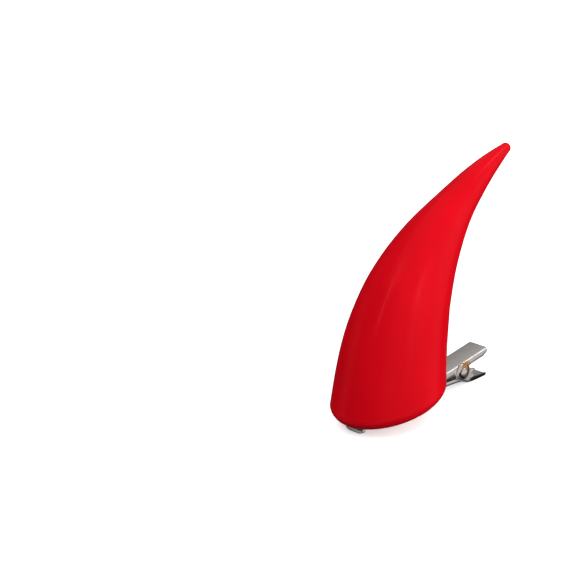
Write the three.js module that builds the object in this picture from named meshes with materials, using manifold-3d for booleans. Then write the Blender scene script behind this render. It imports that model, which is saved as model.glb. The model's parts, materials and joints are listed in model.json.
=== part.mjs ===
// Devil horn hair clip: a hollow moulded horn standing on a sprung metal hair clip.
// Millimetres, +Z up. The clip stands on its nose and on the underside of its lower lever, with the
// origin on the surface below the middle of the whole. X runs along the clip towards its levers.
import * as THREE from 'three';
import { mergeVertices } from 'three/addons/utils/BufferGeometryUtils.js';
import Module from 'manifold-3d';

const wasm = await Module();
wasm.setup();

// Horn
const BASE_LENGTH = 33.1;      // across the foot of the horn, along the clip
const BASE_WIDTH = 29.9;       // across the foot of the horn, across the clip
const SPINE_LENGTH = 77.2;     // along the curved middle line, foot to tip
const LEAN_AT_BASE = 22;       // degrees between the middle line and upright, at the foot
const LEAN_AT_TIP = 77.5;      // the same at the tip
const TIP_RADIUS = 1.45;
const TIP_FLATNESS = 0.99;     // width of the tip's sections over their other size
const BASE_ROUNDING = 3.05;    // radius of the rounded lower edge
const HORN_WALL = 1.8;
const INNER_ROUNDING = 1.2;    // radius of the hollow's lower edge
const VENT_DIAMETER = 3;       // moulding vent in the foot, hidden by the clip

// Clip
const CLIP_LENGTH = 48.1;      // nose to lever end, along the upper plate
const CLIP_WIDTH = 7.3;
const CLIP_OFFSET = 0.8;       // the clip is glued this far from the middle of the foot, across the clip
const LEVER_REACH = 34.7;      // lever end from the middle of the horn's foot
const SHEET = 0.6;             // steel strip
const INNER_BEND = 0.15;       // inside radius of the folds between plate and sides
const FOLD_LIP = 0.15;         // least straight part of a side below its fold
const UPPER_SIDE = 1.7;        // depth of the upper plate's sides
const NOSE_DEPTH = 2;          // how far the nose curls down from the plate
const NOSE_CURL = 1.8;         // outside radius of that curl
const NOSE_CORNER = 1.3;       // rounded corners of the nose
const NOSE_BLEND = 2;          // the sides deepen over this length behind the curl
const LEVER_CORNER = 0.5;      // corners of both levers' ends
const LOWER_SIDE = 1.4;        // depth of the lower jaw's sides, teeth left out
const JAW_FRONT = 1.7;        // straight part of the lower jaw's front edge, between rounded corners
const TOOTH_HEIGHT = 0.9;
const TOOTH_PITCH = 1.8;
const TOOTHED_LENGTH = 27;     // row of teeth, from the jaw's front end
const JAW_SETBACK = 1.1;       // the lower jaw's front end from the nose
const JAW_HEEL_DEPTH = 3.5;    // underside of the lower jaw below the upper plate, where its flat part ends
const HEEL_AHEAD = 12;         // that place from the pivot
const JAW_ARCH = 0.2;          // the underside rises by this midway between there and the pivot
const BELLY_DROP = 3.6;        // underside of the lower jaw below the pivot
const KNEE_BEHIND = 2.7;       // bend of the lower lever from the pivot
const KNEE_DROP = 1.5;         // that bend below the belly
const NOSE_PROUD = 0.1;        // the upper nose reaches lower than the lower jaw's front by this
const LOWER_LEVER_DROP = 8.5;  // end of the lower lever below the upper plate
const LOWER_LEVER_SETBACK = 1.4;  // that end from the upper lever's
const UPPER_TAPER = 0.4;       // how fast the upper lever's sides deepen from its end
const LOWER_TAPER = 0.07;      // the same of the lower lever
const FLANK_AHEAD = 1.1;       // fall of the lower ears' flanks, towards the jaw
const FLANK_BEHIND = 1.3;      // the same towards the lever

// Pivot
const PIVOT_FROM_END = 10.4;   // pivot from the upper lever's end
const PIVOT_DROP = 2.35;       // pivot below the top of the upper plate
const EAR_RADIUS = 2.65;
const BOSS_RADIUS = 2.35;
const BOSS_HEIGHT = 0.55;
const PIN_DIAMETER = 1.3;
const PIN_HEAD_RADIUS = 1.25;
const PIN_HEAD_HEIGHT = 0.6;

// Spring
const WIRE_DIAMETER = 0.6;
const COIL_RADIUS = 1.1;       // middle of the wire
const COIL_TURNS = 4;
const SPRING_LEG = 6;

// Clearances
const SEAT_GAP = 0.3;          // horn to clip
const SIDE_GAP = 0.3;          // lower jaw inside the upper ears
const PIN_GAP = 0.2;
const BITE_GAP = 0.3;          // tooth tips to the upper plate
const EAR_GAP = 0.35;          // the lower jaw's ears to the upper plate
const LEG_GAP = 0.3;           // spring leg to the lower lever

// Shares along the spine: girth from the tip's radius to the foot's half length, lean from foot to tip
const HORN_SECTIONS = [
  { along: 0.00, girth: 1.000, lean: 0.000 },
  { along: 0.12, girth: 0.920, lean: 0.050 },
  { along: 0.25, girth: 0.811, lean: 0.247 },
  { along: 0.40, girth: 0.659, lean: 0.414 },
  { along: 0.55, girth: 0.474, lean: 0.606 },
  { along: 0.70, girth: 0.283, lean: 0.753 },
  { along: 0.82, girth: 0.171, lean: 0.850 },
  { along: 0.92, girth: 0.079, lean: 0.945 },
  { along: 1.00, girth: 0.000, lean: 1.000 },
];
const UPRIGHT_SHARE = 0.35;    // share of the spine over which the sections turn square to it

// Domed shape of a pressed boss, as shares of its radius and height
const BOSS_SECTIONS = [
  { radius: 1.00, height: 0.00 },
  { radius: 0.90, height: 0.45 },
  { radius: 0.72, height: 0.85 },
  { radius: 0.52, height: 1.00 },
];

// Fineness of the facets
const HORN_RINGS = 30;
const HORN_SIDES = 40;
const INNER_RINGS = 12;
const INNER_SIDES = 24;
const ROUNDING_STEPS = 5;
const BEND_STEPS = 3;
const CURL_STEPS = 6;
const CORNER_SHARES = [0, 0.12, 0.35, 0.65, 1];
const NECK_SHARES = [0.04, 0.15, 0.35, 0.65, 1];
const FIRST_TOOTH_SHARE = 5 / 6;   // tip of the first tooth, as a share of a pitch
const EAR_STEPS = 7;
const JAW_STEPS = 6;
const BOSS_SIDES = 28;
const BORE_SIDES = 20;
const HEAD_TURNS = [70, 50, 30, 12];  // degrees above the rim of a pin head
const WIRE_SIDES = 6;
const WIRE_STEPS = 92;
const LEAST_SPACING = 0.02;    // stations closer than this are one
const SLOPE_REACH = 0.05;      // half the length over which a slope is read
const LEAN_STEPS = 30;

const degrees = THREE.MathUtils.degToRad;

const leverEnd = LEVER_REACH;
const noseEnd = LEVER_REACH - CLIP_LENGTH;
const plateTop = -SEAT_GAP;
const pivot = { x: leverEnd - PIVOT_FROM_END, z: plateTop - PIVOT_DROP };
const lowerWidth = CLIP_WIDTH - 2 * (SHEET + SIDE_GAP);
const jawCorner = (lowerWidth - JAW_FRONT) / 2;

// Closed body through rings of equal count: each section has a flat outline and a place for its points
function loft(sections) {
  const count = sections[0].outline.length;
  const points = [];
  const faces = [];
  for (const section of sections) {
    for (const flat of section.outline) points.push(section.place(flat.x, flat.y));
  }
  for (let ring = 0; ring < sections.length - 1; ring += 1) {
    for (let side = 0; side < count; side += 1) {
      const next = (side + 1) % count;
      const a = ring * count + side;
      const b = ring * count + next;
      faces.push([a, b, b + count], [a, b + count, a + count]);
    }
  }
  const lastRing = (sections.length - 1) * count;
  for (const [a, b, c] of THREE.ShapeUtils.triangulateShape(sections[0].outline, [])) faces.push([a, c, b]);
  for (const [a, b, c] of THREE.ShapeUtils.triangulateShape(sections.at(-1).outline, [])) {
    faces.push([lastRing + a, lastRing + b, lastRing + c]);
  }
  const geometry = new THREE.BufferGeometry().setFromPoints(points);
  geometry.setIndex(faces.flat());
  return signedVolume(geometry) < 0 ? turnedInsideOut(geometry) : geometry;
}

function signedVolume(geometry) {
  const place = geometry.getAttribute('position');
  const index = geometry.getIndex();
  const corner = [new THREE.Vector3(), new THREE.Vector3(), new THREE.Vector3()];
  let total = 0;
  for (let at = 0; at < index.count; at += 3) {
    corner.forEach((point, side) => point.fromBufferAttribute(place, index.getX(at + side)));
    total += corner[0].dot(corner[1].cross(corner[2])) / 6;
  }
  return total;
}

function turnedInsideOut(geometry) {
  const old = Array.from(geometry.getIndex().array);
  const turned = [];
  for (let at = 0; at < old.length; at += 3) turned.push(old[at], old[at + 2], old[at + 1]);
  geometry.setIndex(turned);
  return geometry;
}

function toSolid(geometry) {
  const bare = geometry.clone();
  bare.deleteAttribute('normal');
  bare.deleteAttribute('uv');
  const merged = mergeVertices(bare, 1e-4);
  return new wasm.Manifold(new wasm.Mesh({
    numProp: 3,
    vertProperties: new Float32Array(merged.getAttribute('position').array),
    triVerts: new Uint32Array(merged.getIndex().array),
  }));
}

function toGeometry(solid) {
  const mesh = solid.getMesh();
  const geometry = new THREE.BufferGeometry();
  geometry.setAttribute('position', new THREE.BufferAttribute(new Float32Array(mesh.vertProperties), 3));
  geometry.setIndex(Array.from(mesh.triVerts));
  return geometry;
}

// Smooth value of a column of a table at a share along it
function readTable(table, column, along) {
  const last = table.length - 1;
  let row = table.findIndex((entry) => entry.along > along) - 1;
  if (row < 0) row = last - 1;
  const slope = (at) => {
    const before = table[Math.max(at - 1, 0)];
    const after = table[Math.min(at + 1, last)];
    return (after[column] - before[column]) / (after.along - before.along);
  };
  const from = table[row];
  const to = table[row + 1];
  const span = to.along - from.along;
  const t = (along - from.along) / span;
  const ease = t * t * (3 - 2 * t);
  return from[column] * (1 - ease) + to[column] * ease
    + span * (slope(row) * t * (1 - t) ** 2 - slope(row + 1) * t * t * (1 - t));
}

// Horn
const halfBase = BASE_LENGTH / 2;
const leanAt = (along) => degrees(LEAN_AT_BASE
  + (LEAN_AT_TIP - LEAN_AT_BASE) * readTable(HORN_SECTIONS, 'lean', along));

const girthAt = (along) => TIP_RADIUS + (halfBase - TIP_RADIUS) * readTable(HORN_SECTIONS, 'girth', along);

function spinePoint(along, steps = 60) {
  const point = { x: 0, z: BASE_ROUNDING };
  const stretch = (SPINE_LENGTH * along) / steps;
  for (let step = 0; step < steps; step += 1) {
    const lean = leanAt((along * (step + 0.5)) / steps);
    point.x += Math.sin(lean) * stretch;
    point.z += Math.cos(lean) * stretch;
  }
  return point;
}

function oval(halfLong, halfWide, sides) {
  return Array.from({ length: sides }, (_, side) => {
    const turn = (2 * Math.PI * side) / sides;
    return new THREE.Vector2(halfLong * Math.cos(turn), halfWide * Math.sin(turn));
  });
}

// Rings of the horn's skin, or of its hollow where the wall is taken off
function hornRings(wall, rounding, rings, sides, lastAlong) {
  const sections = [];
  const widthShare = (along) => THREE.MathUtils.lerp(BASE_WIDTH / BASE_LENGTH, TIP_FLATNESS, along);
  for (let step = 0; step < ROUNDING_STEPS; step += 1) {
    const turn = (Math.PI / 2) * (step / ROUNDING_STEPS);
    const inset = wall + rounding * (1 - Math.sin(turn));
    const height = wall + rounding * (1 - Math.cos(turn));
    sections.push({
      outline: oval(halfBase - inset, BASE_WIDTH / 2 - inset, sides),
      place: (u, v) => new THREE.Vector3(u, v, height),
    });
  }
  for (let ring = 0; ring <= rings; ring += 1) {
    const along = (lastAlong * ring) / rings;
    const middle = spinePoint(along);
    const lift = along === 0 ? wall + rounding - BASE_ROUNDING : 0;
    const tilt = leanAt(along) * Math.min(along / UPRIGHT_SHARE, 1);
    const girth = girthAt(along);
    sections.push({
      outline: oval(girth - wall, girth * widthShare(along) - wall, sides),
      place: (u, v) => new THREE.Vector3(
        middle.x + u * Math.cos(tilt), v, middle.z + lift - u * Math.sin(tilt)),
    });
  }
  if (wall === 0) {
    const end = spinePoint(1);
    const lean = leanAt(1);
    for (let step = 1; step <= ROUNDING_STEPS; step += 1) {
      const turn = (Math.PI / 2) * (step / (ROUNDING_STEPS + 0.5));
      const ahead = TIP_RADIUS * Math.sin(turn);
      sections.push({
        outline: oval(TIP_RADIUS * Math.cos(turn), TIP_RADIUS * TIP_FLATNESS * Math.cos(turn), sides),
        place: (u, v) => new THREE.Vector3(
          end.x + ahead * Math.sin(lean) + u * Math.cos(lean), v,
          end.z + ahead * Math.cos(lean) - u * Math.sin(lean)),
      });
    }
  }
  return sections;
}

// Share of the spine at which the horn has narrowed to two walls each way
function hollowEnd() {
  let along = 1;
  while (girthAt(along) < 2 * HORN_WALL) along -= 0.01;
  return along;
}

function makeHorn() {
  const skin = toSolid(loft(hornRings(0, BASE_ROUNDING, HORN_RINGS, HORN_SIDES, 1)));
  const hollow = toSolid(loft(hornRings(HORN_WALL, INNER_ROUNDING, INNER_RINGS, INNER_SIDES, hollowEnd())));
  const vent = new THREE.CylinderGeometry(VENT_DIAMETER / 2, VENT_DIAMETER / 2, 4 * HORN_WALL, BORE_SIDES);
  vent.rotateX(Math.PI / 2);
  return toGeometry(skin.subtract(hollow).subtract(toSolid(vent)));
}

// Folded strip: a U section, open downwards, with its back at the top
function channelOutline(halfWidth, depth) {
  const outer = SHEET + INNER_BEND;
  const points = [];
  const bend = (radius, centreX, centreY, from, to) => {
    for (let step = 0; step <= BEND_STEPS; step += 1) {
      const turn = from + ((to - from) * step) / BEND_STEPS;
      points.push(new THREE.Vector2(centreX + radius * Math.cos(turn), centreY + radius * Math.sin(turn)));
    }
  };
  const innerHalf = halfWidth - SHEET;
  points.push(new THREE.Vector2(halfWidth, -depth));
  bend(outer, halfWidth - outer, -outer, 0, Math.PI / 2);
  bend(outer, -halfWidth + outer, -outer, Math.PI / 2, Math.PI);
  points.push(new THREE.Vector2(-halfWidth, -depth));
  points.push(new THREE.Vector2(-innerHalf, -depth));
  bend(INNER_BEND, -innerHalf + INNER_BEND, -outer, Math.PI, Math.PI / 2);
  bend(INNER_BEND, innerHalf - INNER_BEND, -outer, Math.PI / 2, 0);
  points.push(new THREE.Vector2(innerHalf, -depth));
  return points;
}

// Strip bent along a path in the XZ plane. Each station has its place, its heading and its sides' depth
function channel(stations, side) {
  return loft(stations.map(({ x, z, heading, depth, halfWidth }) => ({
    outline: channelOutline(halfWidth, depth),
    place: (u, v) => new THREE.Vector3(x - side * v * Math.sin(heading), u, z + side * v * Math.cos(heading)),
  })));
}

const leastDepth = SHEET + INNER_BEND + FOLD_LIP;

// Half the width of a strip near its rounded end
function roundedHalf(halfWidth, corner, fromEnd) {
  if (fromEnd >= corner) return halfWidth;
  const inside = corner - fromEnd;
  return halfWidth - corner + Math.sqrt(corner ** 2 - inside ** 2);
}

// Depth of the upper sides at a place along the clip: shallow sides with a round ear about the pivot
function upperDepth(x) {
  const away = Math.abs(x - pivot.x);
  const sideDepth = Math.min(UPPER_SIDE, leastDepth + UPPER_TAPER * (leverEnd - x));
  if (away < EAR_RADIUS) return PIVOT_DROP + Math.sqrt(EAR_RADIUS ** 2 - away ** 2);
  const neck = PIVOT_DROP - sideDepth;
  const out = (away - EAR_RADIUS) / neck;
  if (out < 1) return sideDepth + neck * (1 - Math.sqrt(1 - (1 - out) ** 2));
  return sideDepth;
}

function earStations() {
  const neck = PIVOT_DROP - leastDepth;
  const offsets = [];
  for (let step = 0; step <= EAR_STEPS; step += 1) {
    offsets.push(EAR_RADIUS * Math.sin((Math.PI / 2) * (step / EAR_STEPS)));
  }
  for (const share of NECK_SHARES) offsets.push(EAR_RADIUS + neck * share);
  return [...offsets.map((offset) => -offset), ...offsets].map((offset) => pivot.x + offset);
}

function sortedPlaces(places) {
  const sorted = [...places].sort((a, b) => a - b);
  return sorted.filter((place, at) => at === 0 || place - sorted[at - 1] > LEAST_SPACING);
}

function upperStations() {
  const halfWidth = CLIP_WIDTH / 2;
  const stations = [];
  const curlStart = noseEnd + NOSE_CURL;
  // the nose, from its lower edge up round the curl
  const straight = NOSE_DEPTH - NOSE_CURL;
  for (const share of [0, 0.5]) {
    stations.push({
      x: noseEnd, z: plateTop - NOSE_DEPTH + straight * share, heading: Math.PI / 2,
      depth: leastDepth, halfWidth: roundedHalf(halfWidth, NOSE_CORNER, straight * share),
    });
  }
  for (let step = 0; step < CURL_STEPS; step += 1) {
    const turn = (Math.PI / 2) * (1 - step / CURL_STEPS);
    const fromEdge = straight + NOSE_CURL * (Math.PI / 2 - turn);
    stations.push({
      x: curlStart - NOSE_CURL * Math.sin(turn), z: plateTop - NOSE_CURL * (1 - Math.cos(turn)),
      heading: turn, depth: leastDepth, halfWidth: roundedHalf(halfWidth, NOSE_CORNER, fromEdge),
    });
  }
  const places = [curlStart, curlStart + NOSE_BLEND, ...earStations()];
  for (let step = 1; step < JAW_STEPS; step += 1) {
    places.push(THREE.MathUtils.lerp(curlStart + NOSE_BLEND, pivot.x - EAR_RADIUS, step / JAW_STEPS));
  }
  for (const share of CORNER_SHARES) places.push(leverEnd - LEVER_CORNER * share);
  places.push(leverEnd - (UPPER_SIDE - leastDepth) / UPPER_TAPER);
  for (const x of sortedPlaces(places)) {
    const nearNose = Math.min((x - curlStart) / NOSE_BLEND, 1);
    stations.push({
      x, z: plateTop, heading: 0,
      depth: THREE.MathUtils.lerp(leastDepth, upperDepth(x), nearNose),
      halfWidth: roundedHalf(halfWidth, LEVER_CORNER, leverEnd - x),
    });
  }
  return stations;
}

function pinHole(radius) {
  const bore = new THREE.CylinderGeometry(radius, radius, 2 * CLIP_WIDTH, BORE_SIDES);
  return toSolid(bore.translate(pivot.x, 0, pivot.z));
}

// Round pressed boss about the pivot, outside one ear
function bossSolid(outwards) {
  const face = CLIP_WIDTH / 2;
  const root = face - SHEET / 2;
  const profile = [new THREE.Vector2(0, root), new THREE.Vector2(BOSS_RADIUS, root)];
  for (const { radius, height } of BOSS_SECTIONS) {
    profile.push(new THREE.Vector2(BOSS_RADIUS * radius, face + BOSS_HEIGHT * height));
  }
  profile.push(new THREE.Vector2(0, face + BOSS_HEIGHT));
  const geometry = new THREE.LatheGeometry(profile, BOSS_SIDES);
  if (outwards < 0) geometry.rotateX(Math.PI);
  return toSolid(geometry.translate(pivot.x, 0, pivot.z));
}

function makeUpper() {
  let solid = toSolid(channel(upperStations(), 1));
  for (const outwards of [-1, 1]) solid = solid.add(bossSolid(outwards));
  return toGeometry(solid.subtract(pinHole(PIN_DIAMETER / 2 + PIN_GAP)));
}

// Underside of the lower jaw and lever, front to back: flat to its heel, then swelling under the pivot
const jawFront = noseEnd + SHEET + JAW_SETBACK;
const lowerEndX = leverEnd - LOWER_LEVER_SETBACK;
const jawStartZ = plateTop - NOSE_DEPTH + NOSE_PROUD;
const heel = { x: pivot.x - HEEL_AHEAD, z: plateTop - JAW_HEEL_DEPTH };
const bellyZ = pivot.z - BELLY_DROP;
const jawSlope = (heel.z - jawStartZ) / (heel.x - jawFront);
const underside = [
  { along: (jawFront + heel.x) / 2, height: (jawStartZ + heel.z) / 2 },
  { along: heel.x, height: heel.z },
  { along: (heel.x + pivot.x) / 2, height: (heel.z + bellyZ) / 2 + JAW_ARCH },
  { along: pivot.x, height: bellyZ },
  { along: pivot.x + KNEE_BEHIND, height: bellyZ - KNEE_DROP },
  { along: lowerEndX, height: plateTop - LOWER_LEVER_DROP },
];

function undersideAt(x) {
  if (x <= heel.x) return { x, z: jawStartZ + jawSlope * (x - jawFront), heading: Math.atan(jawSlope) };
  const height = (place) => readTable(underside, 'height', place);
  const rise = height(x + SLOPE_REACH) - height(x - SLOPE_REACH);
  return { x, z: height(x), heading: Math.atan2(rise, 2 * SLOPE_REACH) };
}

const innerEarRadius = PIVOT_DROP - SHEET - EAR_GAP;

// Depth of the lower sides without teeth, and the most that fits below the upper plate
function lowerDepth(x) {
  const { z, heading } = undersideAt(x);
  const drop = (pivot.z - z) * Math.cos(heading);
  const room = (plateTop - SHEET - z) * Math.cos(heading) - BITE_GAP;
  const away = Math.abs(x - pivot.x);
  if (away < innerEarRadius) return { root: drop + Math.sqrt(innerEarRadius ** 2 - away ** 2), room };
  const behind = x > pivot.x;
  const flank = drop - (behind ? FLANK_BEHIND : FLANK_AHEAD) * (away - innerEarRadius);
  const tapered = leastDepth + LOWER_TAPER * (lowerEndX - x);
  const plain = behind ? Math.min(LOWER_SIDE, tapered) : LOWER_SIDE;
  return { root: Math.min(Math.max(flank, plain), room), room };
}

function lowerPlaces(peaks) {
  const places = [...peaks, ...peaks.map((peak) => peak - TOOTH_PITCH / 2)];
  for (let step = 0; step <= EAR_STEPS; step += 1) {
    const offset = innerEarRadius * Math.sin((Math.PI / 2) * (step / EAR_STEPS));
    places.push(pivot.x - offset, pivot.x + offset);
  }
  for (let step = 1; step < JAW_STEPS; step += 1) {
    const share = (step / JAW_STEPS) ** 2;
    places.push(THREE.MathUtils.lerp(pivot.x - innerEarRadius, heel.x, share));
    places.push(THREE.MathUtils.lerp(pivot.x + innerEarRadius, lowerEndX, share));
  }
  for (const share of CORNER_SHARES) {
    places.push(lowerEndX - LEVER_CORNER * share, jawFront + jawCorner * share);
  }
  return sortedPlaces(places);
}

function lowerStations() {
  const halfWidth = lowerWidth / 2;
  const teeth = Math.floor(TOOTHED_LENGTH / TOOTH_PITCH);
  const peaks = Array.from({ length: teeth }, (_, tooth) => jawFront + TOOTH_PITCH * (tooth + FIRST_TOOTH_SHARE));
  return lowerPlaces(peaks).map((x) => {
    const { root, room } = lowerDepth(x);
    return {
      ...undersideAt(x),
      depth: Math.min(root + (peaks.includes(x) ? TOOTH_HEIGHT : 0), room),
      halfWidth: Math.min(
        roundedHalf(halfWidth, LEVER_CORNER, lowerEndX - x),
        roundedHalf(halfWidth, jawCorner, x - jawFront),
      ),
    };
  });
}

function makeLower() {
  const solid = toSolid(channel(lowerStations(), -1));
  return toGeometry(solid.subtract(pinHole(PIN_DIAMETER / 2 + PIN_GAP)));
}

// Rivet through both ears, with a domed head at each end
function makePin() {
  const headFace = CLIP_WIDTH / 2 + BOSS_HEIGHT + PIN_GAP;
  const half = [[0, headFace + PIN_HEAD_HEIGHT]];
  for (const turn of HEAD_TURNS) {
    const out = PIN_HEAD_RADIUS * Math.cos(degrees(turn));
    half.push([out, headFace + PIN_HEAD_HEIGHT * Math.sin(degrees(turn))]);
  }
  half.push([PIN_HEAD_RADIUS, headFace], [PIN_DIAMETER / 2, headFace]);
  const lower = half.map(([radius, height]) => [radius, -height]);
  const profile = [...lower, ...half.reverse()].map(([radius, height]) => new THREE.Vector2(radius, height));
  return new THREE.LatheGeometry(profile, BORE_SIDES).translate(pivot.x, 0, pivot.z);
}

// Lean of the spring's lower leg at which its end rests on the lower lever
function legLean() {
  const rest = SHEET + LEG_GAP + WIRE_DIAMETER / 2;
  const above = (lean) => {
    const x = pivot.x - COIL_RADIUS * Math.sin(lean) + SPRING_LEG * Math.cos(lean);
    const z = pivot.z - COIL_RADIUS * Math.cos(lean) - SPRING_LEG * Math.sin(lean);
    return z - undersideAt(x).z - rest;
  };
  let low = 0;
  let high = Math.PI / 3;
  for (let step = 0; step < LEAN_STEPS; step += 1) {
    const middle = (low + high) / 2;
    if (above(middle) > 0) low = middle;
    else high = middle;
  }
  return low;
}

// Wire coil about the pin, with a leg under the upper lever and one on the lower lever
class SpringPath extends THREE.Curve {
  constructor() {
    super();
    this.turn = 2 * Math.PI * COIL_TURNS + Math.PI - legLean();
    this.coilLength = COIL_RADIUS * this.turn;
    this.whole = this.coilLength + 2 * SPRING_LEG;
    this.width = lowerWidth - 2 * SHEET - WIRE_DIAMETER - 2 * SIDE_GAP;
  }

  coil(turn) {
    const y = this.width * (turn / this.turn - 0.5);
    return new THREE.Vector3(-COIL_RADIUS * Math.sin(turn), y, COIL_RADIUS * Math.cos(turn));
  }

  getPoint(share, target = new THREE.Vector3()) {
    const along = share * this.whole;
    if (along < SPRING_LEG) {
      target.copy(this.coil(0)).add(new THREE.Vector3(SPRING_LEG - along, 0, 0));
    } else if (along > SPRING_LEG + this.coilLength) {
      const past = along - SPRING_LEG - this.coilLength;
      const end = this.turn;
      target.copy(this.coil(end));
      target.add(new THREE.Vector3(-past * Math.cos(end), 0, -past * Math.sin(end)));
    } else {
      target.copy(this.coil((along - SPRING_LEG) / COIL_RADIUS));
    }
    return target.add(new THREE.Vector3(pivot.x, 0, pivot.z));
  }
}

function makeSpring() {
  const wire = new THREE.Shape(oval(WIRE_DIAMETER / 2, WIRE_DIAMETER / 2, WIRE_SIDES));
  const along = { extrudePath: new SpringPath(), steps: WIRE_STEPS, bevelEnabled: false };
  return new THREE.ExtrudeGeometry(wire, along);
}

const looks = {
  redPlastic: new THREE.MeshStandardMaterial({ color: 0xd10a1c, roughness: 0.32, metalness: 0 }),
  platedSteel: new THREE.MeshStandardMaterial({ color: 0xa9a7a4, roughness: 0.3, metalness: 1 }),
  rivetSteel: new THREE.MeshStandardMaterial({ color: 0xc9c6c0, roughness: 0.22, metalness: 1 }),
  springWire: new THREE.MeshStandardMaterial({ color: 0xb98a52, roughness: 0.35, metalness: 1 }),
};

function piece(name, geometry, material) {
  const mesh = new THREE.Mesh(geometry, material);
  mesh.name = name;
  return mesh;
}

const clip = new THREE.Group();
clip.position.y = CLIP_OFFSET;
clip.add(
  piece('clip_upper', makeUpper(), looks.platedSteel),
  piece('clip_lower', makeLower(), looks.platedSteel),
  piece('pivot_pin', makePin(), looks.rivetSteel),
  piece('spring', makeSpring(), looks.springWire),
);
const assembly = new THREE.Group();
assembly.add(piece('horn', makeHorn(), looks.redPlastic), clip);

// Stand the clip on its nose and on whatever part of the lower half then comes lowest
const noseFoot = { x: noseEnd, z: plateTop - NOSE_DEPTH };
const slopes = lowerStations().map(({ x, z }) => Math.atan2(noseFoot.z - z, x - noseFoot.x));
assembly.rotation.y = -Math.max(...slopes);
const group = new THREE.Group();
group.add(assembly);
group.updateMatrixWorld(true);
const extent = new THREE.Box3().setFromObject(group, true);
assembly.position.set(-(extent.min.x + extent.max.x) / 2, 0, -extent.min.z);
group.updateMatrixWorld(true);

export default group;
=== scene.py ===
"""Devil horn hair clip: the looks of a moulded red horn on a sprung steel hair clip."""

import json
import math

import bmesh
import bpy
from bpy.props import FloatProperty, FloatVectorProperty, IntProperty, PointerProperty
from mathutils import Matrix, Vector
from mathutils.geometry import tessellate_polygon


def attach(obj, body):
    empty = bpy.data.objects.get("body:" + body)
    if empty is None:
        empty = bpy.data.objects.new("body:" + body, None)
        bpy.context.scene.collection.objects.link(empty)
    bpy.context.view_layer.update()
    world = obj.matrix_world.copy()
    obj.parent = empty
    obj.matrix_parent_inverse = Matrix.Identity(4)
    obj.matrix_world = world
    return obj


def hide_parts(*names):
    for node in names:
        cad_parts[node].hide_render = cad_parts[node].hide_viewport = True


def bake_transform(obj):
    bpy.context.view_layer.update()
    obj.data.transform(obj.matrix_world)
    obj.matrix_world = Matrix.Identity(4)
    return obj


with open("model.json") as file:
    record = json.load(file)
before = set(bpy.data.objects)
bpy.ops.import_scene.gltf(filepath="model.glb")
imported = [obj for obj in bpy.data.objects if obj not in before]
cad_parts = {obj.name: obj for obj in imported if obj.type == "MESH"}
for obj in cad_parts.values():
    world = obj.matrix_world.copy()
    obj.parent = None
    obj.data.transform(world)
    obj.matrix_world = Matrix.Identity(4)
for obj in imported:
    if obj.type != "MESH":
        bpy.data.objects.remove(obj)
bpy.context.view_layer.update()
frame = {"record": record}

bl_info = {
    "name": "Devil horn hair clip",
    "version": (1, 0, 0),
    "blender": (4, 5, 0),
    "location": "View3D > Sidebar > Horn clip",
    "description": "Builds a devil horn hair clip piece by piece with its materials and studio",
    "category": "Add Mesh",
}

MM = 0.001
QUARTER = math.pi / 2

# Shares along the horn's middle line: girth from the tip's radius to the foot's half length,
# lean from the foot's to the tip's
HORN_SECTIONS = (
    {"along": 0.00, "girth": 1.000, "lean": 0.000},
    {"along": 0.12, "girth": 0.920, "lean": 0.050},
    {"along": 0.25, "girth": 0.811, "lean": 0.247},
    {"along": 0.40, "girth": 0.659, "lean": 0.414},
    {"along": 0.55, "girth": 0.474, "lean": 0.606},
    {"along": 0.70, "girth": 0.283, "lean": 0.753},
    {"along": 0.82, "girth": 0.171, "lean": 0.850},
    {"along": 0.92, "girth": 0.079, "lean": 0.945},
    {"along": 1.00, "girth": 0.000, "lean": 1.000},
)


def linear(hex_colour):
    """An sRGB hex colour as linear red, green and blue."""
    parts = [int(hex_colour[at : at + 2], 16) / 255 for at in (1, 3, 5)]
    return tuple(p / 12.92 if p <= 0.04045 else ((p + 0.055) / 1.055) ** 2.4 for p in parts)


def length(name, description, millimetres):
    size = millimetres * MM
    return FloatProperty(name=name, description=description, default=size, unit="LENGTH", precision=5)


def angle(name, description, degrees):
    turn = math.radians(degrees)
    return FloatProperty(name=name, description=description, default=turn, subtype="ANGLE")


def ratio(name, description, value):
    return FloatProperty(name=name, description=description, default=value, subtype="FACTOR")


def colour(name, description, hex_colour):
    return FloatVectorProperty(
        name=name, description=description, default=linear(hex_colour), subtype="COLOR", min=0, max=1
    )


class HornSizes(bpy.types.PropertyGroup):
    foot_length: length("Foot length", "Across the foot, along the clip", 33.1)
    foot_width: length("Foot width", "Across the foot, across the clip", 29.9)
    spine: length("Middle line", "Along the curved middle line, foot to tip", 77.2)
    lean_at_foot: angle("Lean at the foot", "Middle line from upright, at the foot", 22)
    lean_at_tip: angle("Lean at the tip", "Middle line from upright, at the tip", 77.5)
    upright_share: ratio("Turning share", "Share of the line over which sections turn square to it", 0.35)
    tip_radius: length("Tip radius", "Radius of the rounded tip", 1.45)
    tip_flatness: ratio("Tip flatness", "Width of the tip's sections over their other size", 0.99)
    rounding: length("Foot rounding", "Radius of the rounded lower edge", 3.05)
    inner_rounding: length("Inner rounding", "Radius of the hollow's lower edge", 1.2)
    wall: length("Wall", "Thickness of the moulded wall", 1.8)
    vent: length("Vent", "Diameter of the moulding vent in the foot", 3)
    sides: IntProperty(name="Sides", description="Points round each section", default=128)


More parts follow.
